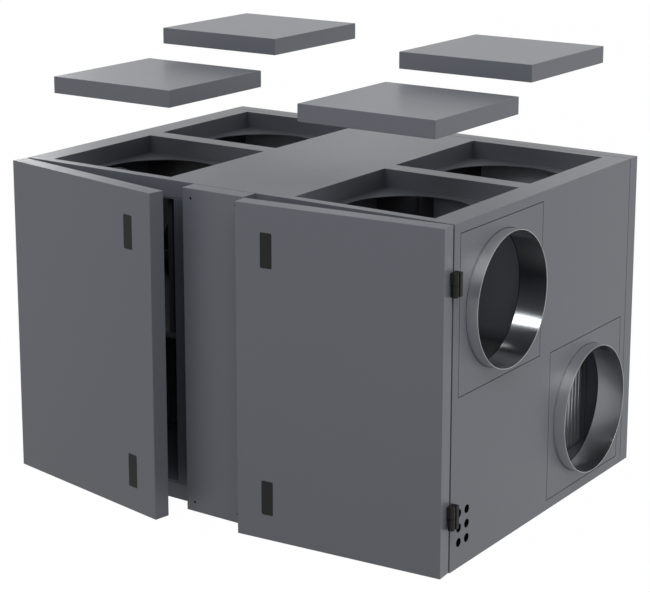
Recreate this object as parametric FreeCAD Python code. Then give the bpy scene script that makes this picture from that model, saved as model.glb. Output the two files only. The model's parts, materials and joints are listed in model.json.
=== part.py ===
import FreeCAD, Part
import math
import os

# Air handling unit: a floor-standing insulated cabinet with a rotary heat exchanger.
# Frame: millimetres, X across the front, Y from the front to the rear, Z up.
# The origin is on the floor, under the centre of the cabinet with its doors shut.

# Duct ports: four in the top, two in each side. The whole cabinet is laid out around them
duct_radius = 177.5
plate_margin = 31.5
port_from_centre = 203.5
port_from_side = 72.5
port_from_front = 28.0
port_from_rear = 27.0
port_row_gap = 57.0
side_port_from_end = 26.5
side_port_gap = 5.0

# Insulated panels and the sheet they are made of
panel_thickness = 46.0
side_skin = 8.0
frame_lip = 5.0
frame_lip_depth = 12.0
frame_lip_set_back = 1.5
sheet = 2.0
seam_gap = 2.2
seam_depth = 4.0
seat_clearance = 0.3

# Square recesses of the top ports
recess_below_panel = 3.5
pan_rim_height = 13.0
pan_lip_clearance = 2.0

# Round duct collars
collar_length = 33.0
collar_sheet = 1.5
collar_shoulder = 1.0
collar_flange_reach = 18.0
collar_inner_reach = 2.0

# Front: two doors and a fixed panel between them
centre_panel_width = 200.0
door_side_gap = 5.0
door_back_gap = 5.0
door_floor_gap = 3.0
door_edge_radius = 1.5
left_door_rest_angle = 10.4
right_door_rest_angle = 5.0
front_opening_inset = 71.0
mullion_depth = 30.0
panel_screw_inset = 26.5
panel_screw_radius = 4.0
panel_screw_depth = 12.0

# Door latches
latch_width = 34.5
latch_height = 92.5
latch_thickness = 5.0
latch_corner = 4.0
latch_bevel = 0.8
latch_clearance = 0.15
latch_edge_inset = 73.5
latch_end_inset = 71.0

# Lift-off hinges: the lower knuckle with its pin on the cabinet, the upper one on the door
hinge_height = 61.0
hinge_knuckle_radius = 8.8
hinge_running_gap = 1.0
hinge_front_gap = 2.0
hinge_knuckle_gap = 1.2
hinge_plate_thickness = 12.0
hinge_web_width = 8.0
hinge_pad_front = 8.0
hinge_pad_back = 5.0
hinge_pin_radius = 3.0
hinge_pin_reach = 25.0
hinge_pin_clearance = 0.08
lower_hinge_inset = 151.5
upper_hinge_inset = 146.4

# Insulated covers, lifted straight off the top ports
cover_thickness = 47.0
cover_side_clearance = 5.0
cover_edge_radius = 1.5
cover_lift_front_left = 185.0
cover_lift_front_right = 193.0
cover_lift_rear = 266.5

# Cable entries in the right-hand side
cable_hole_radius = 11.5
cable_pitch = 38.5
cable_first_inset = 41.5
cable_first_height = 68.0
cable_columns = 2
cable_rows = 3

# Inside: shelves, dividers and bulkheads
shelf_rise = 6.5
shelf_thickness = 15.0
divider_thickness = 20.0
wall_from_hole = 18.0
inner_wall_thickness = 15.0
casing_box_width = 134.0
casing_fan_gap = 8.0
casing_cover_gap = 13.0
casing_cover_thickness = 12.0

# Rotary heat exchanger
wheel_thickness = 200.0
wheel_clearance = 6.0
wheel_margin = 15.0
wheel_hub_radius = 42.0
wheel_rim = 8.0
cassette_margin = 6.0
cassette_bar_width = 44.0
cassette_bar_thickness = 4.0

# Filters
filter_from_side = 68.0
filter_depth = 96.0
filter_frame_width = 4.0
filter_end_gap = 1.0
pleat_pitch = 20.0
pleat_media = 3.0
pleat_margin = 8.0

# Fans
fan_radius = 120.0
fan_inlet_radius = 78.0
fan_height = 92.0
fan_plate_thickness = 3.0
fan_shroud_rise = 15.0
fan_blade_count = 7
fan_blade_thickness = 4.0
fan_blade_inner_radius = 62.0
fan_blade_offset = 60.0
fan_blade_overreach = 10.0
fan_motor_radius = 48.0
fan_motor_length = 60.0
fan_inlet_gap = 6.0
fan_bracket_thickness = 12.0

# Overall sizes that follow from the ports
port_size = 2 * (duct_radius + plate_margin)
cabinet_width = 2 * (port_from_centre + port_size + port_from_side)
cabinet_height = 2 * (side_port_from_end + port_size) + side_port_gap
body_depth = port_from_front + 2 * port_size + port_row_gap + port_from_rear
port_recess_depth = panel_thickness + recess_below_panel
pan_rim_depth = panel_thickness - pan_rim_height
pan_flange_reach = port_from_front - frame_lip_set_back - frame_lip_depth - pan_lip_clearance
plate_thickness = panel_thickness - side_skin - collar_sheet
collar_root_radius = duct_radius + collar_shoulder

# Derived places
half_width = cabinet_width / 2
seat_y = (door_back_gap - body_depth) / 2
seam_y = seat_y + body_depth
lip_front_y = seat_y + frame_lip_set_back
lip_back_y = lip_front_y + frame_lip_depth
rear_y = seam_y + panel_thickness
door_back_y = seat_y - door_back_gap
door_face_y = door_back_y - panel_thickness
inner_x = half_width - panel_thickness
floor_z = panel_thickness
ceiling_z = cabinet_height - panel_thickness
post_ends = (floor_z + frame_lip, ceiling_z - frame_lip)
under_pan_z = cabinet_height - port_recess_depth - sheet
row_front_y = seat_y + port_from_front + port_size / 2
row_rear_y = seam_y - port_from_rear - port_size / 2
row_y = {"front": row_front_y, "rear": row_rear_y}
top_port_x = port_from_centre + port_size / 2
side_port_low = side_port_from_end + port_size / 2
side_port_high = cabinet_height - side_port_low
side_ports = [("upper", row_front_y, side_port_high), ("lower", row_rear_y, side_port_low)]
mullion_half = centre_panel_width / 2 + front_opening_inset
door_width = half_width - centre_panel_width / 2 - door_side_gap
latch_heights = (latch_end_inset + latch_height / 2, cabinet_height - latch_end_inset - latch_height / 2)
hinge_axis_x = half_width + hinge_knuckle_radius + hinge_running_gap
hinge_axis_y = seat_y - hinge_knuckle_radius - hinge_front_gap
hinge_heights = (lower_hinge_inset, cabinet_height - upper_hinge_inset)
shelf_bottom = cabinet_height / 2 + shelf_rise - shelf_thickness / 2
shelf_top = shelf_bottom + shelf_thickness
divider_back = (row_front_y + row_rear_y + divider_thickness) / 2
divider_front = divider_back - divider_thickness
inner_wall_face = top_port_x - duct_radius - wall_from_hole
room_front_y = seat_y + mullion_depth
room_centre_y = (room_front_y + seam_y) / 2
room_centre_z = (floor_z + ceiling_z) / 2
wheel_room = min(seam_y - room_front_y, ceiling_z - floor_z)
wheel_radius = wheel_room / 2 - wheel_margin - wheel_clearance
cassette_half = wheel_thickness / 2 + cassette_margin
filter_face_x = inner_x - filter_from_side
filter_back_x = filter_face_x - filter_depth
filter_front_y = room_front_y + filter_end_gap
filter_rear_y = seam_y - filter_end_gap
fan_z = (shelf_top + ceiling_z) / 2
fan_blade_bend = fan_radius + fan_blade_overreach - fan_blade_offset
fan_bracket_half = fan_radius + 2 * fan_bracket_thickness
overlap = 1.0
tolerance = 0.01


def block(x0, x1, y0, y1, z0, z1):
    return Part.makeBox(x1 - x0, y1 - y0, z1 - z0, FreeCAD.Vector(x0, y0, z0))


def square(size, z0, z1):
    return block(-size / 2, size / 2, -size / 2, size / 2, z0, z1)


def cylinder(radius, z0, z1, x=0.0, y=0.0):
    return Part.makeCylinder(radius, z1 - z0, FreeCAD.Vector(x, y, z0))


def fused(shapes):
    return shapes[0].multiFuse(shapes[1:]).removeSplitter()


def mirrored(shape):
    return shape.mirror(FreeCAD.Vector(0, 0, 0), FreeCAD.Vector(1, 0, 0))


def on_side(side, shape):
    return shape if side == "right" else mirrored(shape)


def extruded(points, direction):
    corners = [FreeCAD.Vector(*point) for point in points]
    face = Part.Face(Part.makePolygon(corners + corners[:1]))
    return face.extrude(FreeCAD.Vector(*direction))


def revolved(points):
    corners = [FreeCAD.Vector(radius, 0, height) for radius, height in points]
    face = Part.Face(Part.makePolygon(corners + corners[:1]))
    return face.revolve(FreeCAD.Vector(0, 0, 0), FreeCAD.Vector(0, 0, 1), 360)


def edges_at(shape, axis, value):
    found = []
    for edge in shape.Edges:
        places = [getattr(vertex.Point, axis) for vertex in edge.Vertexes]
        if all(abs(place - value) < tolerance for place in places):
            found.append(edge)
    return found


# Duct ports, drawn about their own axis with the outer face at height 0 and +Z outwards

def top_port_cut():
    mouth = square(port_size, -pan_rim_depth - overlap, overlap)
    seat_size = port_size + 2 * sheet + 2 * seat_clearance
    seat = square(seat_size, -panel_thickness - frame_lip - overlap, -pan_rim_depth)
    return mouth.fuse(seat)


def side_port_cut():
    pocket = square(port_size, side_skin - panel_thickness, overlap)
    hole = cylinder(duct_radius + seat_clearance, -panel_thickness - overlap, overlap)
    return pocket.fuse(hole)


def port_pan():
    bottom = -port_recess_depth - sheet
    tray = square(port_size + 2 * sheet, bottom, -pan_rim_depth)
    flange = square(port_size + 2 * pan_flange_reach, -panel_thickness - sheet, -panel_thickness)
    hollow = square(port_size, -port_recess_depth, overlap)
    hole = cylinder(duct_radius, bottom - overlap, overlap)
    return fused([tray, flange]).cut(hollow).cut(hole)


def collar_plate():
    plate = square(port_size - 2 * seam_gap, -plate_thickness, 0)
    hole = cylinder(collar_root_radius + seat_clearance, -plate_thickness - overlap, overlap)
    return plate.cut(hole)


def duct_collar():
    inner = duct_radius - collar_sheet
    flange_edge = collar_root_radius + collar_flange_reach
    flange_back = -plate_thickness - collar_sheet
    inner_end = -panel_thickness - collar_inner_reach
    outline = [
        (inner, collar_length),
        (duct_radius, collar_length),
        (duct_radius, 0),
        (collar_root_radius, -collar_sheet),
        (collar_root_radius, -plate_thickness),
        (flange_edge, -plate_thickness),
        (flange_edge, flange_back),
        (duct_radius, flange_back),
        (duct_radius, inner_end),
        (inner, inner_end),
    ]
    return revolved(outline)


def to_top(shape, x, y):
    placed = shape.copy()
    placed.translate(FreeCAD.Vector(x, y, cabinet_height))
    return placed


def to_side(shape, y, z):
    placed = shape.copy()
    placed.rotate(FreeCAD.Vector(0, 0, 0), FreeCAD.Vector(0, 1, 0), 90)
    placed.translate(FreeCAD.Vector(half_width, y, z))
    return placed


# Cabinet panels

def base_panel():
    outline = [
        (-inner_x, seat_y, 0),
        (-inner_x, seam_y, 0),
        (-inner_x, seam_y, floor_z),
        (-inner_x, lip_back_y, floor_z),
        (-inner_x, lip_back_y, floor_z + frame_lip),
        (-inner_x, lip_front_y, floor_z + frame_lip),
        (-inner_x, lip_front_y, floor_z),
        (-inner_x, seat_y, floor_z),
    ]
    return extruded(outline, (2 * inner_x, 0, 0))


def top_panel():
    outline = [
        (-inner_x, seat_y, cabinet_height),
        (-inner_x, seam_y, cabinet_height),
        (-inner_x, seam_y, ceiling_z),
        (-inner_x, lip_back_y, ceiling_z),
        (-inner_x, lip_back_y, ceiling_z - frame_lip),
        (-inner_x, lip_front_y, ceiling_z - frame_lip),
        (-inner_x, lip_front_y, ceiling_z),
        (-inner_x, seat_y, ceiling_z),
    ]
    panel = extruded(outline, (2 * inner_x, 0, 0))
    for x in (-top_port_x, top_port_x):
        for row in ("front", "rear"):
            panel = panel.cut(to_top(top_port_cut(), x, row_y[row]))
    return panel


def side_panel(side):
    slab = block(inner_x, half_width, seat_y, seam_y, 0, cabinet_height)
    lip = block(inner_x - frame_lip, inner_x, lip_front_y, lip_back_y, *post_ends)
    panel = fused([slab, lip])
    for name, y, z in side_ports:
        panel = panel.cut(to_side(side_port_cut(), y, z))
    if side == "right":
        for column in range(cable_columns):
            for row in range(cable_rows):
                y = seat_y + cable_first_inset + column * cable_pitch
                z = cable_first_height + row * cable_pitch
                start = FreeCAD.Vector(inner_x - overlap, y, z)
                length = panel_thickness + 2 * overlap
                hole = Part.makeCylinder(cable_hole_radius, length, start, FreeCAD.Vector(1, 0, 0))
                panel = panel.cut(hole)
    return on_side(side, panel)


def rear_panel():
    slab = block(-half_width, half_width, seam_y + seam_gap, rear_y, 0, cabinet_height)
    slab = slab.makeFillet(door_edge_radius, edges_at(slab, "y", rear_y))
    seat_x = half_width - seam_depth
    seat_z = (seam_depth, cabinet_height - seam_depth)
    seat = block(-seat_x, seat_x, seam_y, seam_y + seam_gap + overlap, *seat_z)
    return fused([slab, seat])


def centre_front_panel():
    half = centre_panel_width / 2
    panel = block(-half, half, door_face_y, seat_y, door_floor_gap, cabinet_height)
    panel = panel.makeFillet(door_edge_radius, edges_at(panel, "y", door_face_y))
    for x in (-half + panel_screw_inset, half - panel_screw_inset):
        for z in (door_floor_gap + panel_screw_inset, cabinet_height - panel_screw_inset):
            start = FreeCAD.Vector(x, door_face_y - overlap, z)
            length = panel_screw_depth + overlap
            hole = Part.makeCylinder(panel_screw_radius, length, start, FreeCAD.Vector(0, 1, 0))
            panel = panel.cut(hole)
    seam_z = (cabinet_height - seam_depth, cabinet_height + overlap)
    seam = block(-half - overlap, half + overlap, seat_y - seam_gap, seat_y + overlap, *seam_z)
    return panel.cut(seam)


def centre_mullion():
    return block(-mullion_half, mullion_half, seat_y, room_front_y, *post_ends)


# Inner walls

def shelf_divider():
    plan = [
        (cassette_half, room_front_y, shelf_bottom),
        (inner_x, room_front_y, shelf_bottom),
        (inner_x, divider_back, shelf_bottom),
        (inner_wall_face, divider_back, shelf_bottom),
        (inner_wall_face, seam_y, shelf_bottom),
        (cassette_half, seam_y, shelf_bottom),
    ]
    shelf = extruded(plan, (0, 0, shelf_thickness))
    wall = block(inner_wall_face, inner_x, divider_front, divider_back, shelf_top, ceiling_z)
    return fused([shelf, wall])


def inner_wall():
    x0 = inner_wall_face - inner_wall_thickness
    wall = block(x0, inner_wall_face, room_front_y, seam_y, shelf_top, under_pan_z)
    start = FreeCAD.Vector(x0 - overlap, row_front_y, fan_z)
    length = inner_wall_thickness + 2 * overlap
    inlet = Part.makeCylinder(fan_inlet_radius, length, start, FreeCAD.Vector(1, 0, 0))
    return wall.cut(inlet)


def casing_box():
    front = row_front_y + fan_bracket_half + casing_fan_gap
    cover_back = front + casing_cover_thickness
    box_side = inner_wall_face + casing_box_width
    cover_side = box_side - casing_cover_gap
    plan = [
        (inner_wall_face, front, shelf_top),
        (cover_side, front, shelf_top),
        (cover_side, cover_back, shelf_top),
        (box_side, cover_back, shelf_top),
        (box_side, divider_front, shelf_top),
        (inner_wall_face, divider_front, shelf_top),
    ]
    return extruded(plan, (0, 0, under_pan_z - shelf_top))


# Rotary heat exchanger

def rotor_cassette():
    frame = block(-cassette_half, cassette_half, room_front_y, seam_y, floor_z, ceiling_z)
    start = FreeCAD.Vector(-cassette_half - overlap, room_centre_y, room_centre_z)
    length = 2 * (cassette_half + overlap)
    bore = Part.makeCylinder(wheel_radius + wheel_clearance, length, start, FreeCAD.Vector(1, 0, 0))
    bar_back = cassette_half - cassette_bar_thickness
    bar_sides = (room_centre_y - cassette_bar_width / 2, room_centre_y + cassette_bar_width / 2)
    near_bar = block(bar_back, cassette_half, *bar_sides, floor_z, ceiling_z)
    return fused([frame.cut(bore), near_bar, mirrored(near_bar)])


def rotor_wheel():
    half = wheel_thickness / 2
    foil = half - wheel_rim
    rim_inside = wheel_radius - wheel_rim
    hub_end = cassette_half - cassette_bar_thickness - seat_clearance
    outline = [
        (0, -hub_end),
        (wheel_hub_radius, -hub_end),
        (wheel_hub_radius, -foil),
        (rim_inside, -foil),
        (rim_inside, -half),
        (wheel_radius, -half),
        (wheel_radius, half),
        (rim_inside, half),
        (rim_inside, foil),
        (wheel_hub_radius, foil),
        (wheel_hub_radius, hub_end),
        (0, hub_end),
    ]
    wheel = revolved(outline)
    wheel.rotate(FreeCAD.Vector(0, 0, 0), FreeCAD.Vector(0, 1, 0), 90)
    wheel.translate(FreeCAD.Vector(0, room_centre_y, room_centre_z))
    return wheel


# Filters: a frame with a folded medium

def filter_frame():
    w = filter_frame_width
    frame = block(filter_back_x, filter_face_x, filter_front_y, filter_rear_y, floor_z, shelf_bottom)
    window_x = (filter_back_x - overlap, filter_face_x + overlap)
    window_y = (filter_front_y + w, filter_rear_y - w)
    return frame.cut(block(*window_x, *window_y, floor_z + w, shelf_bottom - w))


def filter_pleats():
    start = filter_front_y + filter_frame_width
    length = filter_rear_y - filter_frame_width - start
    low = floor_z + filter_frame_width
    high = shelf_bottom - filter_frame_width
    count = int(length / pleat_pitch)
    pitch = length / count
    near = filter_back_x + pleat_margin
    far = filter_face_x - pleat_margin
    front = []
    for fold in range(count):
        valley = start + fold * pitch
        front += [(near, valley, low), (far, valley + pitch / 2, low)]
    front.append((near, start + count * pitch, low))
    back = [(x - pleat_media, y, z) for x, y, z in reversed(front)]
    return extruded(front + back, (0, 0, high - low))


# Fans: a backward-curved impeller with its motor, on a strap from the inner wall

def fan_impeller():
    plate = cylinder(fan_radius, fan_height - fan_plate_thickness, fan_height)
    t = fan_plate_thickness
    shroud = revolved([
        (fan_inlet_radius, 0),
        (fan_inlet_radius + t, 0),
        (fan_inlet_radius + 2 * t, 2 * t),
        (fan_radius, fan_shroud_rise),
        (fan_radius, fan_shroud_rise + t),
        (fan_inlet_radius + t, 3 * t),
        (fan_inlet_radius, t),
    ])
    pieces = [plate, shroud]
    for number in range(fan_blade_count):
        blade = fan_blade()
        turn = 360.0 * number / fan_blade_count
        blade.rotate(FreeCAD.Vector(0, 0, 0), FreeCAD.Vector(0, 0, 1), turn)
        pieces.append(blade)
    hub = cylinder(fan_motor_radius, fan_height - fan_motor_length, fan_height)
    return fused(pieces + [hub])


def fan_blade():
    ends = (fan_shroud_rise, fan_height - fan_plate_thickness)
    bend = cylinder(fan_blade_bend + fan_blade_thickness / 2, *ends, fan_blade_offset)
    inside = cylinder(fan_blade_bend - fan_blade_thickness / 2, *ends, fan_blade_offset)
    ring = cylinder(fan_radius - fan_plate_thickness, *ends)
    eye = cylinder(fan_blade_inner_radius, *ends)
    arcs = bend.cut(inside).common(ring.cut(eye)).Solids
    return max(arcs, key=lambda arc: arc.CenterOfMass.y)


def to_inner_wall(shape, gap):
    placed = shape.copy()
    placed.rotate(FreeCAD.Vector(0, 0, 0), FreeCAD.Vector(0, 1, 0), 90)
    placed.translate(FreeCAD.Vector(inner_wall_face + gap, row_front_y, fan_z))
    return placed


def fan_bracket():
    t = fan_bracket_thickness
    reach = fan_inlet_gap + fan_height
    outside = fan_bracket_half
    inside = fan_bracket_half - t
    outline = [
        (inside, 0),
        (outside, 0),
        (outside, reach + t),
        (-outside, reach + t),
        (-outside, 0),
        (-inside, 0),
        (-inside, reach),
        (inside, reach),
    ]
    corners = [(-t, across, height) for across, height in outline]
    return extruded(corners, (2 * t, 0, 0))


# Doors, drawn shut on the right-hand side

def door_panel():
    x0 = half_width - door_width
    panel = block(x0, half_width, door_face_y, door_back_y, door_floor_gap, cabinet_height)
    panel = panel.makeFillet(door_edge_radius, edges_at(panel, "y", door_face_y))
    for z in latch_heights:
        panel = panel.cut(latch_body(z, 0))
    return panel


def latch_body(z, inset):
    x0 = half_width - door_width + latch_edge_inset + inset
    x1 = x0 + latch_width - 2 * inset
    reach = latch_height / 2 - inset
    body = block(x0, x1, door_face_y, door_face_y + latch_thickness, z - reach, z + reach)
    upright = [edge for edge in body.Edges if abs(edge.Length - latch_thickness) < tolerance]
    return body.makeFillet(latch_corner - inset, upright)


def door_latches():
    latches = []
    for z in latch_heights:
        plate = latch_body(z, latch_clearance)
        latches.append(plate.makeChamfer(latch_bevel, edges_at(plate, "y", door_face_y)))
    return Part.makeCompound(latches)


def hinge_knuckle(low, high):
    return cylinder(hinge_knuckle_radius, low, high, hinge_axis_x, hinge_axis_y)


def cabinet_hinge(z):
    low = z - hinge_height / 2
    high = z + hinge_height / 2
    middle = z - hinge_knuckle_gap / 2
    plate_front = hinge_axis_y + hinge_knuckle_radius + hinge_running_gap
    plate_side = hinge_axis_x + hinge_knuckle_radius
    plate_back = plate_front + hinge_plate_thickness
    plate = block(half_width, plate_side, plate_front, plate_back, low, high)
    web_x = (hinge_axis_x - hinge_web_width / 2, hinge_axis_x + hinge_web_width / 2)
    web = block(*web_x, hinge_axis_y, plate_front + overlap, low, middle)
    pin = cylinder(hinge_pin_radius, low, z + hinge_pin_reach, hinge_axis_x, hinge_axis_y)
    return fused([plate, web, hinge_knuckle(low, middle), pin])


def door_hinge(z):
    low = z + hinge_knuckle_gap / 2
    high = z + hinge_height / 2
    pad_y = (hinge_axis_y - hinge_pad_front, hinge_axis_y + hinge_pad_back)
    pad = block(half_width, hinge_axis_x, *pad_y, low, high)
    bore_radius = hinge_pin_radius + hinge_pin_clearance
    bore_top = z + hinge_pin_reach + overlap
    bore = cylinder(bore_radius, low - overlap, bore_top, hinge_axis_x, hinge_axis_y)
    return fused([pad, hinge_knuckle(low, high)]).cut(bore)


def pair_of_hinges(half_hinge):
    return Part.makeCompound([half_hinge(z) for z in hinge_heights])


def opened(shape, side, angle):
    placed = on_side(side, shape)
    centre_x = hinge_axis_x if side == "right" else -hinge_axis_x
    turn = angle if side == "right" else -angle
    placed.rotate(FreeCAD.Vector(centre_x, hinge_axis_y, 0), FreeCAD.Vector(0, 0, 1), turn)
    return placed


# Covers

def port_cover():
    cover = square(port_size - 2 * cover_side_clearance, 0, cover_thickness)
    top_and_bottom = edges_at(cover, "z", cover_thickness) + edges_at(cover, "z", 0)
    return cover.makeFillet(cover_edge_radius, top_and_bottom)


nodes = {
    "base_panel": base_panel(),
    "top_panel": top_panel(),
    "rear_panel": rear_panel(),
    "centre_front_panel": centre_front_panel(),
    "centre_mullion": centre_mullion(),
    "rotor_cassette": rotor_cassette(),
    "rotor_wheel": rotor_wheel(),
}

rest_angles = {"left": left_door_rest_angle, "right": right_door_rest_angle}
cover_lifts = {
    "front_left": cover_lift_front_left,
    "front_right": cover_lift_front_right,
    "rear_left": cover_lift_rear,
    "rear_right": cover_lift_rear,
}

for side in ("left", "right"):
    nodes[side + "_side_panel"] = side_panel(side)
    for name, y, z in side_ports:
        nodes[f"{side}_{name}_collar_plate"] = on_side(side, to_side(collar_plate(), y, z))
        nodes[f"{side}_{name}_duct_collar"] = on_side(side, to_side(duct_collar(), y, z))
    nodes[side + "_shelf_divider"] = on_side(side, shelf_divider())
    nodes[side + "_inner_wall"] = on_side(side, inner_wall())
    nodes[side + "_casing_box"] = on_side(side, casing_box())
    nodes[side + "_fan"] = on_side(side, to_inner_wall(fan_impeller(), fan_inlet_gap))
    nodes[side + "_fan_bracket"] = on_side(side, to_inner_wall(fan_bracket(), 0))
    nodes[side + "_filter_frame"] = on_side(side, filter_frame())
    nodes[side + "_filter_pleats"] = on_side(side, filter_pleats())
    nodes[side + "_cabinet_hinges"] = on_side(side, pair_of_hinges(cabinet_hinge))
    nodes[side + "_door_panel"] = opened(door_panel(), side, rest_angles[side])
    nodes[side + "_door_latches"] = opened(door_latches(), side, rest_angles[side])
    nodes[side + "_door_hinges"] = opened(pair_of_hinges(door_hinge), side, rest_angles[side])
    way = 1 if side == "right" else -1
    for row in ("front", "rear"):
        place = f"{row}_{side}"
        x = way * top_port_x
        nodes[place + "_port_pan"] = to_top(port_pan(), x, row_y[row])
        cover = to_top(port_cover(), x, row_y[row])
        cover.translate(FreeCAD.Vector(0, 0, cover_lifts[place]))
        nodes[place + "_cover"] = cover

os.makedirs("parts", exist_ok=True)
for name, shape in nodes.items():
    shape.exportStep(os.path.join("parts", name + ".step"))
    solids = len(shape.Solids)
    volume = shape.Volume / 1000000.0
    print(f"{name}: {solids} solid(s), {volume:.3f} dm3, valid {shape.isValid()}")
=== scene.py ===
import json
import math

import bmesh
import bpy
from mathutils import Matrix, Vector


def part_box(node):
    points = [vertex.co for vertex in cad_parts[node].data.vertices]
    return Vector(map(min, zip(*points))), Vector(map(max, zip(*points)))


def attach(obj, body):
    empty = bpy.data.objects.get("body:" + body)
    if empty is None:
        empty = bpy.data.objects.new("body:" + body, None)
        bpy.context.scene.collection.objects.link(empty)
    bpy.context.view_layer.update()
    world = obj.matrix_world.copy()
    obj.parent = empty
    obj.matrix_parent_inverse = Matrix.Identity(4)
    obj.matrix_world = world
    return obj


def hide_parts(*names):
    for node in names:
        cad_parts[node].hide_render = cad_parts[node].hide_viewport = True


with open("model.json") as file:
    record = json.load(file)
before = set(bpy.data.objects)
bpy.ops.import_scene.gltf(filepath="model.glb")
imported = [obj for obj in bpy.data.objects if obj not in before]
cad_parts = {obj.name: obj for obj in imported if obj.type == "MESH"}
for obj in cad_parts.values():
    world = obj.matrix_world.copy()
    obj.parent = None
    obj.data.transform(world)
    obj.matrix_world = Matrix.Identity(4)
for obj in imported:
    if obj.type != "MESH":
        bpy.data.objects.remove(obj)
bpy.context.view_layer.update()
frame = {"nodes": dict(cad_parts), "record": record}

nodes = frame["nodes"]
print("frame loaded:", len(nodes), "nodes")


# A wire is a node's socket that Python can calculate with
class Wire:
    def __init__(self, finish, socket):
        self.finish = finish
        self.socket = socket

    def maths(self, operation, first, second):
        return self.finish.add("ShaderNodeMath", {"operation": operation}, {0: first, 1: second})

    def __add__(self, other): return self.maths("ADD", self, other)
    def __radd__(self, other): return self.maths("ADD", other, self)
    def __sub__(self, other): return self.maths("SUBTRACT", self, other)
    def __rsub__(self, other): return self.maths("SUBTRACT", other, self)
    def __mul__(self, other): return self.maths("MULTIPLY", self, other)
    def __rmul__(self, other): return self.maths("MULTIPLY", other, self)
    def __truediv__(self, other): return self.maths("DIVIDE", self, other)
    def __rtruediv__(self, other): return self.maths("DIVIDE", other, self)


# A finish is the node tree of one material, or of the world
class Finish:
    def __init__(self, owner):
        owner.use_nodes = True
        self.tree = owner.node_tree
        self.tree.nodes.clear()

    def add(self, kind, settings=None, inputs=None, output=0):
        node = self.tree.nodes.new(kind)
        for key, value in (settings or {}).items():
            setattr(node, key, value)
        for key, value in (inputs or {}).items():
            if isinstance(value, Wire):
                self.tree.links.new(value.socket, node.inputs[key])
            else:
                node.inputs[key].default_value = value
        return Wire(self, node.outputs[output]) if len(node.outputs) else None

    def place(self, scale=(1, 1, 1)):
        here = self.add("ShaderNodeTexCoord", output="Object")
        return self.add("ShaderNodeMapping", {}, {"Vector": here, "Scale": scale})

    def along(self, where, axis):
        return self.add("ShaderNodeSeparateXYZ", {}, {0: where}, output="XYZ".index(axis))

    def fade(self, value, start, end, atStart, atEnd):
        return self.add("ShaderNodeMapRange", {}, {0: value, 1: start, 2: end, 3: atStart, 4: atEnd})

    def noise(self, where, scale, detail=2.0, roughness=0.5):
        sockets = {"Vector": where, "Scale": scale, "Detail": detail, "Roughness": roughness}
        return self.add("ShaderNodeTexNoise", {}, sockets)

    def blend(self, share, first, second):
        return self.add("ShaderNodeMix", {"data_type": "RGBA"}, {0: share, 6: first, 7: second}, output=2)

    def mottle(self, share, colour, tones):
        return self.blend(share, shade(colour, tones[0]), shade(colour, tones[1]))

    def bump(self, height, strength, depth):
        return self.add("ShaderNodeBump", {}, {"Strength": strength, "Distance": depth, "Height": height})

    # 1 where the camera sees the surface, directly, mirrored or through glass
    def seen(self):
        direct = self.add("ShaderNodeLightPath", output="Is Camera Ray")
        mirrored = self.add("ShaderNodeLightPath", output="Is Glossy Ray")
        through = self.add("ShaderNodeLightPath", output="Is Transmission Ray")
        either = self.add("ShaderNodeMath", {"operation": "MAXIMUM"}, {0: direct, 1: mirrored})
        return self.add("ShaderNodeMath", {"operation": "MAXIMUM"}, {0: either, 1: through})

    def surface(self, **sockets):
        inputs = {key.replace("_", " "): value for key, value in sockets.items()}
        shader = self.add("ShaderNodeBsdfPrincipled", {}, inputs)
        self.add("ShaderNodeOutputMaterial", {}, {"Surface": shader})


def rgb(red, green, blue):
    return (red, green, blue, 1.0)


def shade(colour, gain):
    return tuple(channel * gain for channel in colour[:3]) + (1.0,)


# Powder coat: a smooth satin skin with a fine orange peel
bodyColour = rgb(0.114, 0.121, 0.141)
powderCoat = {
    "bodyPaint": {"colour": bodyColour, "roughness": 0.36, "peel": 0.00008, "gloss": 0.42},
    "innerPaint": {"colour": rgb(0.150, 0.155, 0.170), "roughness": 0.46, "peel": 0.00008, "gloss": 0.40},
    # painted shade: the shelf's colour darkens downwards between two given heights, standing in for the shade
    # at its foot
    "shelfPaint": {"colour": rgb(0.138, 0.143, 0.158), "roughness": 0.46, "peel": 0.00008, "gloss": 0.40,
                   "paintedShade": {"darkestHeight": 0.462, "unshadedHeight": 0.500, "share": 0.58}},
    "wallPaint": {"colour": rgb(0.030, 0.030, 0.035), "roughness": 0.60, "peel": 0.00012, "gloss": 0.25},
    # painted shade: the left shelf divider is the same sheet as the right one, painted darker for the shade
    # on the left side
    "shadedDividerPaint": {"colour": rgb(0.063, 0.063, 0.069), "roughness": 0.60, "peel": 0.00012, "gloss": 0.25},
    # painted light: the rear panel's inner face, in front of "face", grows lighter between the heights "foot"
    # and "head", standing in for light that reaches it through the ports above
    "rearPaint": {"colour": bodyColour, "roughness": 0.36, "peel": 0.00008, "gloss": 0.42,
                  "paintedLight": {"colour": rgb(0.50, 0.51, 0.55), "face": 0.4775, "foot": 0.55, "head": 0.80}},
    # painted shade: the body colour made darker, standing in for the shade on the mullion between the doors
    "shadedMullionPaint": {"colour": rgb(0.076, 0.081, 0.095), "roughness": 0.40, "peel": 0.00008, "gloss": 0.40},
    "liningPaint": {"colour": rgb(0.018, 0.018, 0.021), "roughness": 0.65, "peel": 0.00012, "gloss": 0.20},
    "framePaint": {"colour": rgb(0.120, 0.125, 0.135), "roughness": 0.40, "peel": 0.00008, "gloss": 0.45},
}
coatGrain = {"clouds": 3.0, "tones": (0.985, 1.015), "peel": 420.0, "peelStrength": 0.35,
             "sheen": 35.0, "sheenSpread": 0.03}


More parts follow.
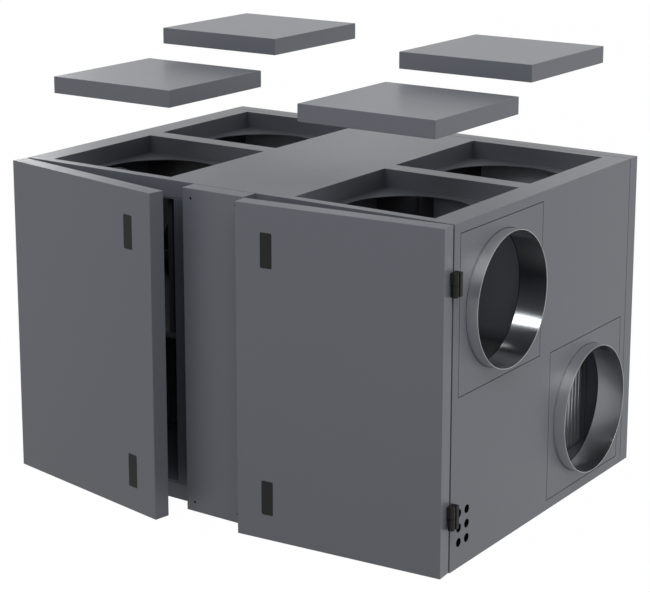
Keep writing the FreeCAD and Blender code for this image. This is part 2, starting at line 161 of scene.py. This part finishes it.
def makePowderCoat(name):
    values = powderCoat[name]
    material = bpy.data.materials.new(name)
    coat = Finish(material)
    here = coat.place()
    cloud = coat.noise(here, coatGrain["clouds"], detail=3.0)
    colour = coat.mottle(cloud, values["colour"], coatGrain["tones"])
    # painted shade: the shelf grows darker towards its foot
    if "paintedShade" in values:
        paintedShade = values["paintedShade"]
        share = coat.fade(coat.along(here, "Z"), paintedShade["darkestHeight"], paintedShade["unshadedHeight"], paintedShade["share"], 0.0)
        colour = coat.blend(share, colour, rgb(0.0, 0.0, 0.0))
    # painted light: lighter towards the top of the rear panel's inner face
    if "paintedLight" in values:
        paintedLight = values["paintedLight"]
        depth = coat.along(here, "Y")
        inside = coat.add("ShaderNodeMath", {"operation": "LESS_THAN"}, {0: depth, 1: paintedLight["face"]})
        rise = coat.fade(coat.along(here, "Z"), paintedLight["foot"], paintedLight["head"], 0.0, 1.0)
        colour = coat.blend(inside * rise, colour, paintedLight["colour"])
    sheen = coat.noise(here, coatGrain["sheen"])
    roughness = values["roughness"] + (sheen - 0.5) * coatGrain["sheenSpread"]
    bump = coat.bump(coat.noise(here, coatGrain["peel"]), coatGrain["peelStrength"], values["peel"])
    coat.surface(Base_Color=colour, Roughness=roughness, Specular_IOR_Level=values["gloss"], Normal=bump)
    return material


# Galvanised sheet rolled into the collars: streaks run round the collar
collarSteel = {
    "outside": {"colour": rgb(0.60, 0.60, 0.62), "roughness": 0.34, "streak": 0.08},
    # painted highlight: the bores get brighter steel than the outside, and the upper bores brighter than the
    # lower, for the highlights seen in them
    "upperInside": {"colour": rgb(0.97, 0.97, 0.985), "roughness": 0.175, "streak": 0.05},
    "lowerInside": {"colour": rgb(0.78, 0.78, 0.795), "roughness": 0.19, "streak": 0.05},
}
steelGrain = {"streaks": (600, 4, 4), "tones": (0.93, 1.05), "clouds": 9.0, "cloudSpread": 0.04,
              "strength": 0.2, "depth": 0.00004}


def makeCollarSteel(face):
    values = collarSteel[face]
    material = bpy.data.materials.new("collarSteel." + face)
    steel = Finish(material)
    streak = steel.noise(steel.place(scale=steelGrain["streaks"]), 1.0, detail=3.0, roughness=0.6)
    cloud = steel.noise(steel.place(), steelGrain["clouds"], detail=3.0)
    colour = steel.mottle(streak, values["colour"], steelGrain["tones"])
    roughness = values["roughness"] + (streak - 0.5) * values["streak"]
    roughness = roughness + (cloud - 0.5) * steelGrain["cloudSpread"]
    bump = steel.bump(streak, steelGrain["strength"], steelGrain["depth"])
    steel.surface(Base_Color=colour, Metallic=1.0, Roughness=roughness, Normal=bump)
    return material


# Moulded black plastic of the hinges and latches, and the rubber of the grommets and seals
blackPlastic = {
    "blackPlastic": {"colour": rgb(0.015, 0.0145, 0.014), "roughness": 0.5, "grain": 900.0, "gloss": 0.15},
    "grommetRubber": {"colour": rgb(0.003, 0.003, 0.003), "roughness": 0.8, "grain": 1500.0, "gloss": 0.05},
}
plasticGrain = {"clouds": 25.0, "cloudSpread": 0.08, "tones": (0.9, 1.12), "strength": 0.25, "depth": 0.00012}


def makeBlackPlastic(name):
    values = blackPlastic[name]
    material = bpy.data.materials.new(name)
    plastic = Finish(material)
    here = plastic.place()
    cloud = plastic.noise(here, plasticGrain["clouds"])
    colour = plastic.mottle(cloud, values["colour"], plasticGrain["tones"])
    bump = plastic.bump(plastic.noise(here, values["grain"]), plasticGrain["strength"], plasticGrain["depth"])
    roughness = values["roughness"] + (cloud - 0.5) * plasticGrain["cloudSpread"]
    plastic.surface(Base_Color=colour, Roughness=roughness, Specular_IOR_Level=values["gloss"], Normal=bump)
    return material


fanPlastic = {"colour": rgb(0.022, 0.022, 0.025), "roughness": 0.5, "clouds": 60.0, "tones": (0.85, 1.2),
              "grain": 1200.0, "strength": 0.3, "depth": 0.0001}


def makeFanPlastic():
    material = bpy.data.materials.new("fanPlastic")
    plastic = Finish(material)
    here = plastic.place()
    cloud = plastic.noise(here, fanPlastic["clouds"], detail=3.0)
    colour = plastic.mottle(cloud, fanPlastic["colour"], fanPlastic["tones"])
    bump = plastic.bump(plastic.noise(here, fanPlastic["grain"]), fanPlastic["strength"], fanPlastic["depth"])
    plastic.surface(Base_Color=colour, Roughness=fanPlastic["roughness"], Normal=bump)
    return material


# Folded filter medium: matted fibres with a silky sheen
filterCloth = {"colour": rgb(0.35, 0.355, 0.38), "tones": (0.85, 1.1), "clouds": 22.0, "roughness": 0.26,
               "gloss": 1.0, "silk": 0.35, "fibre": 1500.0, "fibreLength": (1, 1, 0.35),
               "strength": 0.3, "depth": 0.0002}


def makeFilterCloth():
    material = bpy.data.materials.new("filterCloth")
    cloth = Finish(material)
    lengthwise = cloth.place(scale=filterCloth["fibreLength"])
    fibres = cloth.noise(lengthwise, filterCloth["fibre"], detail=4.0, roughness=0.7)
    clouds = cloth.noise(cloth.place(), filterCloth["clouds"], detail=3.0)
    colour = cloth.mottle(clouds, filterCloth["colour"], filterCloth["tones"])
    bump = cloth.bump(fibres, filterCloth["strength"], filterCloth["depth"])
    cloth.surface(Base_Color=colour, Metallic=filterCloth["silk"], Roughness=filterCloth["roughness"],
                  Specular_IOR_Level=filterCloth["gloss"], Normal=bump)
    return material


# Heat exchanger wheel: fine corrugated foil wound round the hub
wheelFoil = {"colour": rgb(0.45, 0.46, 0.47), "gap": 0.25, "layer": 0.0022, "layerShare": 0.6,
             "cellShare": 0.5, "metal": 0.7, "roughness": 0.45, "strength": 0.5, "depth": 0.0006}


def makeWheelFoil():
    material = bpy.data.materials.new("wheelFoil")
    foil = Finish(material)
    here = foil.add("ShaderNodeTexCoord", output="Object")
    low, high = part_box("rotor_wheel")
    centre = (low + high) / 2
    half = wheelFoil["layer"] / 2
    moved = foil.add("ShaderNodeVectorMath", {"operation": "SUBTRACT"}, {0: here, 1: (0, centre.y, centre.z)})
    flat = foil.add("ShaderNodeVectorMath", {"operation": "MULTIPLY"}, {0: moved, 1: (0, 1, 1)})
    radius = foil.add("ShaderNodeVectorMath", {"operation": "LENGTH"}, {0: flat}, output="Value")
    layer = foil.add("ShaderNodeMath", {"operation": "PINGPONG"}, {0: radius, 1: half}) / half
    cells = foil.add("ShaderNodeTexVoronoi", {}, {"Vector": flat, "Scale": 1 / wheelFoil["layer"]})
    mask = layer * wheelFoil["layerShare"] + cells * wheelFoil["cellShare"]
    # painted shade: the colour darkens in the passages between the foil layers
    colour = foil.mottle(mask, wheelFoil["colour"], (wheelFoil["gap"], 1.0))
    bump = foil.bump(mask, wheelFoil["strength"], wheelFoil["depth"])
    foil.surface(Base_Color=colour, Metallic=wheelFoil["metal"], Roughness=wheelFoil["roughness"],
                 Normal=bump)
    return material


materials = {
    "body_paint": makePowderCoat("bodyPaint"),
    "inner_sheet": makePowderCoat("innerPaint"),
    "filter_frame": makePowderCoat("framePaint"),
    "collar_steel": makeCollarSteel("outside"),
    "black_plastic": makeBlackPlastic("blackPlastic"),
    "fan_plastic": makeFanPlastic(),
    "filter_media": makeFilterCloth(),
    "wheel_foil": makeWheelFoil(),
}
print("materials made:", len(materials))

lining = makePowderCoat("liningPaint")
wallPaint = makePowderCoat("wallPaint")
grommetRubber = makeBlackPlastic("grommetRubber")
paintedHighlightSteel = {"upper": makeCollarSteel("upperInside"), "lower": makeCollarSteel("lowerInside")}

# Nodes whose finish differs from the rest of their slot
ownFinish = {
    "left_casing_box": lining,
    "right_casing_box": lining,
    "left_fan_bracket": lining,
    "right_fan_bracket": lining,
    "left_inner_wall": wallPaint,
    "right_inner_wall": wallPaint,
    # painted shade: the left divider gets a darker paint than the right one
    "left_shelf_divider": makePowderCoat("shadedDividerPaint"),
    "right_shelf_divider": makePowderCoat("shelfPaint"),
    "rear_panel": makePowderCoat("rearPaint"),
    # painted shade: the mullion gets a darker copy of the body paint
    "centre_mullion": makePowderCoat("shadedMullionPaint"),
}

for part in frame["record"]["subparts"]:
    node = nodes[part["node"]]
    material = ownFinish.get(part["node"], materials[part["material_slot"]])
    if not node.material_slots:
        node.data.materials.append(material)
    for entry in node.material_slots:
        entry.material = material
print("nodes dressed")


def newPiece(name, shape, slot, body="cabinet", stands=(), finish=None, smoothBelow=35):
    bmesh.ops.recalc_face_normals(shape, faces=shape.faces)
    for edge in shape.edges:
        edge.smooth = len(edge.link_faces) == 2 and edge.calc_face_angle() < math.radians(smoothBelow)
    for face in shape.faces:
        face.smooth = True
    mesh = bpy.data.meshes.new(name)
    shape.to_mesh(mesh)
    shape.free()
    piece = bpy.data.objects.new(name, mesh)
    bpy.context.scene.collection.objects.link(piece)
    mesh.materials.append(finish or materials[slot])
    if stands:
        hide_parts(*stands)
    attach(piece, body)
    return piece


def spinRound(shape, centre, steps):
    bmesh.ops.spin(shape, geom=shape.verts[:] + shape.edges[:], cent=centre, axis=(1, 0, 0), dvec=(0, 0, 0),
                   angle=math.tau, steps=steps, use_merge=True, use_duplicate=False)


def breakEdges(shape, edges, width):
    bmesh.ops.bevel(shape, geom=edges, offset=width, offset_type="OFFSET", affect="EDGES",
                    segments=3, profile=0.5, material=-1)


# Round collars: rolled sheet with a broken edge at the mouth and an open ring round the foot.
# The upper left one reaches further in and is lined there, so the front port shows no daylight through it
roundCollar = {"radius": 0.1775, "sheet": 0.0010, "length": 0.033, "footDepth": 0.0365, "flange": 0.0195,
               "inside": 0.048, "leftUpperInside": 0.098, "edge": 0.0003, "steps": 128}
collarSeal = {"radius": 0.001, "round": 10}


def makeCollar(side, place):
    name = f"{side}_{place}_duct_collar"
    length, sheet, foot = roundCollar["length"], roundCollar["sheet"], roundCollar["footDepth"]
    low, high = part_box(name)
    way = 1 if high.x > 0 else -1
    plateFace = (high.x if way > 0 else low.x) - way * length
    centre = Vector((0, (low.y + high.y) / 2, (low.z + high.z) / 2))
    outer, inner = roundCollar["radius"], roundCollar["radius"] - sheet
    ringEdge = outer + roundCollar["flange"]
    lined = (side, place) == ("left", "upper")
    inside = roundCollar["leftUpperInside"] if lined else roundCollar["inside"]
    # radius and place along the collar, counted outwards from the plate
    outline = [
        (inner, length), (outer, length), (outer, -foot), (ringEdge, -foot), (ringEdge, -foot - sheet),
        (outer, -foot - sheet), (outer, -inside), (inner, -inside), (inner, 0.0),
    ]
    shape = bmesh.new()
    ring = []
    for radius, along in outline:
        ring.append(shape.verts.new((plateFace + way * along, centre.y, centre.z + radius)))
    for first, second in zip(ring, ring[1:] + ring[:1]):
        shape.edges.new((first, second))
    spinRound(shape, centre, roundCollar["steps"])
    mouth, near = plateFace + way * length, sheet / 5
    rim = [edge for edge in shape.edges if all(abs(vert.co.x - mouth) < near for vert in edge.verts)]
    corners = [edge for edge in rim if edge.calc_face_angle() > math.radians(45)]
    breakEdges(shape, corners, roundCollar["edge"])
    for face in shape.faces:
        middle = face.calc_center_median()
        away = math.hypot(middle.y - centre.y, middle.z - centre.z)
        along = way * (middle.x - plateFace)
        onBore = abs(away - inner) < near
        if along < (0 if onBore else -foot - sheet) and (lined or not onBore):
            face.material_index = 2  # dark lining inside the cabinet
        elif onBore:
            # painted highlight: the bore's steel is made brighter than the outside
            face.material_index = 1  # bright steel
    collar = newPiece(name.replace("duct_collar", "round_collar"), shape, "collar_steel", stands=[name],
                      smoothBelow=8)
    collar.data.materials.append(paintedHighlightSteel[place])
    collar.data.materials.append(lining)

    # a thin black seal round the inner end
    seal = bmesh.new()
    corner = Matrix.Translation((plateFace - way * inside, centre.y, centre.z + inner))
    bmesh.ops.create_circle(seal, cap_ends=False, segments=collarSeal["round"], radius=collarSeal["radius"],
                            matrix=corner @ Matrix.Rotation(math.pi / 2, 4, "X"))
    spinRound(seal, centre, roundCollar["steps"])
    newPiece(name.replace("duct_collar", "collar_seal"), seal, "black_plastic", finish=grommetRubber,
             smoothBelow=60)


for side in ("left", "right"):
    for place in ("upper", "lower"):
        makeCollar(side, place)
print("collars rolled")


# Filter medium: a sheet folded to and fro, with rounded crests towards the collar
filterFolds = {"pitch": 0.020, "sheet": 0.001, "valley": 0.0018, "arcSteps": 12}


def makeFolds(name):
    sheet, arcSteps = filterFolds["sheet"], filterFolds["arcSteps"]
    low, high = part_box(name)
    front, back = (high.x, low.x) if low.x > 0 else (low.x, high.x)
    way = 1 if front > back else -1
    front, back = front - way * sheet, back + way * sheet
    folds = round((high.y - low.y) / filterFolds["pitch"])
    pitch = (high.y - low.y) / folds
    crest = (pitch - filterFolds["valley"]) / 2
    outline = []
    for fold in range(folds):
        middle = low.y + (fold + 0.5) * pitch
        outline.append((back, middle - crest))
        for step in range(arcSteps + 1):
            angle = math.pi * step / arcSteps
            outline.append((front - way * crest * (1 - math.sin(angle)), middle - crest * math.cos(angle)))
        outline.append((back, middle + crest))
    shape = bmesh.new()
    foot = [shape.verts.new((x, y, low.z)) for x, y in outline]
    line = [shape.edges.new(pair) for pair in zip(foot, foot[1:])]
    risen = bmesh.ops.extrude_edge_only(shape, edges=line)
    head = [item for item in risen["geom"] if isinstance(item, bmesh.types.BMVert)]
    bmesh.ops.translate(shape, verts=head, vec=(0, 0, high.z - low.z))
    bmesh.ops.recalc_face_normals(shape, faces=shape.faces)
    bmesh.ops.solidify(shape, geom=shape.faces[:], thickness=sheet / 2)
    newPiece(name.replace("pleats", "folds"), shape, "filter_media", stands=[name])


for side in ("left", "right"):
    makeFolds(side + "_filter_pleats")
print("filters folded")


# Cable entries: a black grommet lines each hole in the right-hand side
cableGrommet = {"radius": 0.0114, "wall": 0.0008, "round": 48, "panel": 0.046, "recess": 0.0003,
                "firstInset": 0.0415, "firstHeight": 0.068, "pitch": 0.0385, "columns": 2, "rows": 3}


def makeGrommets():
    values = cableGrommet
    low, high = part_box("right_side_panel")
    depth = values["panel"] - 2 * values["recess"]
    x = high.x - values["recess"] - depth / 2
    shape = bmesh.new()
    for column in range(values["columns"]):
        for row in range(values["rows"]):
            y = low.y + values["firstInset"] + column * values["pitch"]
            z = values["firstHeight"] + row * values["pitch"]
            middle = Matrix.Translation((x, y, z)) @ Matrix.Rotation(math.pi / 2, 4, "Y")
            bmesh.ops.create_cone(shape, cap_ends=False, segments=values["round"], radius1=values["radius"],
                                  radius2=values["radius"], depth=depth, matrix=middle)
    bmesh.ops.recalc_face_normals(shape, faces=shape.faces)
    bmesh.ops.solidify(shape, geom=shape.faces[:], thickness=values["wall"])
    newPiece("right_cable_grommets", shape, "black_plastic", finish=grommetRubber)


makeGrommets()


# Screws that hold the panel between the doors: round heads with a round socket
panelScrew = {"head": 0.0034, "height": 0.0022, "round": 24, "edge": 0.0006, "socket": 0.0016,
              "depth": 0.0014, "inset": 0.0265, "below": 0.0018}


def makeScrews():
    values = panelScrew
    low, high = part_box("centre_front_panel")
    shape = bmesh.new()
    for x in (low.x + values["inset"], high.x - values["inset"]):
        for z in (low.z + values["inset"], high.z - values["inset"]):
            head = bmesh.new()
            bmesh.ops.create_cone(head, cap_ends=True, segments=values["round"], radius1=values["head"],
                                  radius2=values["head"], depth=values["height"])
            top = [edge for edge in head.edges if all(vert.co.z > 0 for vert in edge.verts)]
            breakEdges(head, top, values["edge"])
            cap = max(head.faces, key=lambda face: face.calc_center_median().z)
            lip = values["head"] - values["edge"] - values["socket"]
            bmesh.ops.inset_region(head, faces=[cap], thickness=lip)
            pressed = bmesh.ops.extrude_face_region(head, geom=[cap])
            floor = [item for item in pressed["geom"] if isinstance(item, bmesh.types.BMVert)]
            bmesh.ops.translate(head, verts=floor, vec=(0, 0, -values["depth"]))
            bmesh.ops.delete(head, geom=[cap], context="FACES_ONLY")
            place = Matrix.Translation((x, low.y + values["below"] + values["height"] / 2, z))
            bmesh.ops.transform(head, matrix=place @ Matrix.Rotation(math.pi / 2, 4, "X"), verts=head.verts)
            screw = bpy.data.meshes.new("screwHead")
            head.to_mesh(screw)
            head.free()
            shape.from_mesh(screw)
            bpy.data.meshes.remove(screw)
    newPiece("centre_panel_screws", shape, "black_plastic")


makeScrews()
print("small pieces made")


# Studio: white floor and sky, soft lamps, camera at the photograph's angle
studio = {
    "floorSize": 60.0,
    "floorShadow": 0.06,
    "floorGrey": 0.3,
    "floorWhite": 1.045,
    "skyLevel": 0.61,
    "lamps": {
        "keyLamp": {"place": (2.7, -2.5, 4.7), "aim": (0.0, 0.0, 0.5), "size": 3.0, "power": 99.0},
        "frontLamp": {"place": (-0.8, -2.8, 3.0), "aim": (0.0, -0.5, 0.8), "size": 1.6, "power": 14.5,
                      "tint": (0.84, 0.92, 1.0)},
        "sideLamp": {"place": (3.6, 0.9, 0.45), "aim": (0.7, 0.0, 0.1), "size": 1.4, "power": 23.0,
                     "mirrored": False},
        "backLamp": {"place": (-9.5, 7.7, 3.2), "aim": (-0.6, -0.4, 0.9), "size": 1.6, "power": 66.0},
    },
}

# The floor looks white, but keeps a share of the object's shadow
floorPaper = bpy.data.materials.new("floorPaper")
backdrop = Finish(floorPaper)
paper = backdrop.add("ShaderNodeBsdfDiffuse", {}, {"Color": rgb(*[studio["floorGrey"]] * 3)})
white = backdrop.add("ShaderNodeEmission", {}, {"Color": rgb(1, 1, 1), "Strength": studio["floorWhite"]})
share = backdrop.seen() * (1 - studio["floorShadow"])
both = backdrop.add("ShaderNodeMixShader", {}, {0: share, 1: paper, 2: white})
backdrop.add("ShaderNodeOutputMaterial", {}, {"Surface": both})

floorMesh = bpy.data.meshes.new("studioFloor")
floorGrid = bmesh.new()
bmesh.ops.create_grid(floorGrid, x_segments=1, y_segments=1, size=studio["floorSize"] / 2)
floorGrid.to_mesh(floorMesh)
floorGrid.free()
floorMesh.materials.append(floorPaper)
studioFloor = bpy.data.objects.new("studioFloor", floorMesh)
bpy.context.scene.collection.objects.link(studioFloor)

world = bpy.data.worlds.new("studioWorld")
bpy.context.scene.world = world
sky = Finish(world)
strength = studio["skyLevel"] + sky.seen() * (1 - studio["skyLevel"])
light = sky.add("ShaderNodeBackground", {}, {"Color": rgb(1, 1, 1), "Strength": strength})
sky.add("ShaderNodeOutputWorld", {}, {"Surface": light})

for name, values in studio["lamps"].items():
    lamp = bpy.data.lights.new(name, "AREA")
    lamp.shape = "SQUARE"
    lamp.size = values["size"]
    lamp.energy = values["power"]
    lamp.color = values.get("tint", (1.0, 1.0, 1.0))
    holder = bpy.data.objects.new(name, lamp)
    holder.visible_glossy = values.get("mirrored", True)
    holder.location = values["place"]
    aim = Vector(values["aim"]) - Vector(values["place"])
    holder.rotation_euler = aim.to_track_quat("-Z", "Y").to_euler()
    bpy.context.scene.collection.objects.link(holder)

lens = {"place": (2.9788, -4.3130, 1.9785), "pitch": 77.51, "yaw": 34.9, "length": 106.30, "sensor": 36.0,
        "shift": (0.0088, -0.1708), "farthest": 200.0}
camera = bpy.data.cameras.new("photoCamera")
camera.lens = lens["length"]
camera.sensor_width = lens["sensor"]
camera.sensor_fit = "HORIZONTAL"
camera.shift_x, camera.shift_y = lens["shift"]
camera.clip_end = lens["farthest"]
cameraObject = bpy.data.objects.new("photoCamera", camera)
cameraObject.location = lens["place"]
cameraObject.rotation_euler = (math.radians(lens["pitch"]), 0.0, math.radians(lens["yaw"]))
bpy.context.scene.collection.objects.link(cameraObject)
bpy.context.scene.camera = cameraObject
bpy.context.scene.view_settings.view_transform = "Standard"
print("studio ready")
